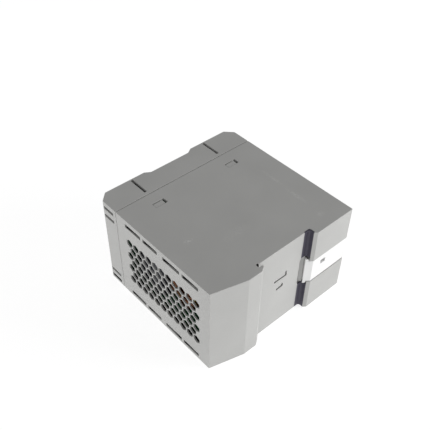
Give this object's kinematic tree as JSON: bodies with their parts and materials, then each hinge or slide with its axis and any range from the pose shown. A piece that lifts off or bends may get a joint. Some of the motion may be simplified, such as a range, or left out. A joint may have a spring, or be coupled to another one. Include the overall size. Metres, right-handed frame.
{
  "type": "rail-mounted power supply module",
  "caption": "Light-grey plastic power supply module for a 35 mm top-hat rail, lying on its side, with honeycomb vents, a fixed hook, a sprung white latch, screw terminals and a trimmer.",
  "frame": {"origin": "centre of the bottom of the bounding box: the module lies on its lower side panel at z = 0", "axes": "+Z is the device's width, from the lower to the upper side panel. +Y is its depth, from the front with the terminals to the rear with the rail seat. +X is its height, from the latch end to the fixed-hook end."},
  "size_m": [0.09, 0.0904, 0.0555],
  "materials": {
    "housing_plastic": "matte",
    "cover_plastic": "matte",
    "label": "satin",
    "latch_plastic": "satin",
    "guide_plastic": "matte",
    "pad_rubber": "matte",
    "spring_steel": "satin",
    "screw_steel": "satin",
    "clamp_steel": "satin",
    "board_laminate": "satin",
    "terminal_plastic": "matte",
    "trimmer_plastic": "satin",
    "led_resin": "gloss",
    "clear_pipe": "gloss",
    "fuse_ceramic": "satin",
    "thermistor_ceramic": "satin",
    "blue_resin": "satin",
    "film_case": "satin",
    "ferrite": "matte",
    "iron_powder": "matte",
    "copper_wire": "satin",
    "winding_tape": "satin",
    "capacitor_sleeve": "satin",
    "heatsink_aluminium": "satin",
    "black_resin": "matte"
  },
  "bodies": {
    "module": {"housing": "housing_plastic", "front_cover": "cover_plastic", "label_plate": "label", "latch_spring": "spring_steel", "latch_guide": "guide_plastic", "rail_pad_upper": "pad_rubber", "rail_pad_lower": "pad_rubber", "main_board": "board_laminate", "front_board": "board_laminate", "board_header": "black_resin", "input_terminal_block": "terminal_plastic", "output_terminal_block": "terminal_plastic", "adjuster_body": "trimmer_plastic", "status_led": "led_resin", "light_pipe": "clear_pipe", "fuse": "fuse_ceramic", "inrush_thermistor": "thermistor_ceramic", "varistor": "blue_resin", "x_capacitor": "film_case", "line_choke_core": "ferrite", "line_choke_winding": "copper_wire", "bridge_rectifier": "black_resin", "bulk_capacitor": "capacitor_sleeve", "primary_heatsink": "heatsink_aluminium", "power_transistor": "black_resin", "transformer_core": "ferrite", "transformer_winding": "winding_tape", "y_capacitor": "blue_resin", "optocoupler": "black_resin", "secondary_heatsink": "heatsink_aluminium", "output_rectifier": "black_resin", "output_choke_core": "iron_powder", "output_choke_winding": "copper_wire", "output_capacitor_1": "capacitor_sleeve", "output_capacitor_2": "capacitor_sleeve", "input_clamp_1": "clamp_steel", "input_clamp_2": "clamp_steel", "input_clamp_3": "clamp_steel", "output_clamp_1": "clamp_steel", "output_clamp_2": "clamp_steel", "output_clamp_3": "clamp_steel", "output_clamp_4": "clamp_steel"},
    "latch": {"rail_latch": "latch_plastic"},
    "adjuster": {"adjuster_rotor": "latch_plastic"},
    "input_screw_1": {"input_screw_1": "screw_steel"},
    "input_screw_2": {"input_screw_2": "screw_steel"},
    "input_screw_3": {"input_screw_3": "screw_steel"},
    "output_screw_1": {"output_screw_1": "screw_steel"},
    "output_screw_2": {"output_screw_2": "screw_steel"},
    "output_screw_3": {"output_screw_3": "screw_steel"},
    "output_screw_4": {"output_screw_4": "screw_steel"}
  },
  "joints": [
    {"name": "latch_slide", "type": "slide", "parent": "module", "child": "latch", "axis": [-1, 0, 0], "range_m": [0, 0.0035], "stiffness_N_per_m": 1200, "springref_m": -0.002, "deforming": ["latch_spring"]},
    {"name": "adjuster_turn", "type": "hinge", "parent": "module", "child": "adjuster", "pos_m": [0.0201, -0.0425, 0.015], "axis": [0, -1, 0], "range_deg": [-135, 135]},
    {"name": "input_screw_1_turn", "type": "hinge", "parent": "module", "child": "input_screw_1", "pos_m": [-0.0308, -0.04, 0.01759], "axis": [0, -1, 0], "continuous": true},
    {"name": "input_screw_2_turn", "type": "hinge", "parent": "module", "child": "input_screw_2", "pos_m": [-0.0308, -0.04, 0.02775], "axis": [0, -1, 0], "continuous": true},
    {"name": "input_screw_3_turn", "type": "hinge", "parent": "module", "child": "input_screw_3", "pos_m": [-0.0308, -0.04, 0.03791], "axis": [0, -1, 0], "continuous": true},
    {"name": "output_screw_1_turn", "type": "hinge", "parent": "module", "child": "output_screw_1", "pos_m": [0.0308, -0.04, 0.01251], "axis": [0, -1, 0], "continuous": true},
    {"name": "output_screw_2_turn", "type": "hinge", "parent": "module", "child": "output_screw_2", "pos_m": [0.0308, -0.04, 0.02267], "axis": [0, -1, 0], "continuous": true},
    {"name": "output_screw_3_turn", "type": "hinge", "parent": "module", "child": "output_screw_3", "pos_m": [0.0308, -0.04, 0.03283], "axis": [0, -1, 0], "continuous": true},
    {"name": "output_screw_4_turn", "type": "hinge", "parent": "module", "child": "output_screw_4", "pos_m": [0.0308, -0.04, 0.04299], "axis": [0, -1, 0], "continuous": true}
  ]
}
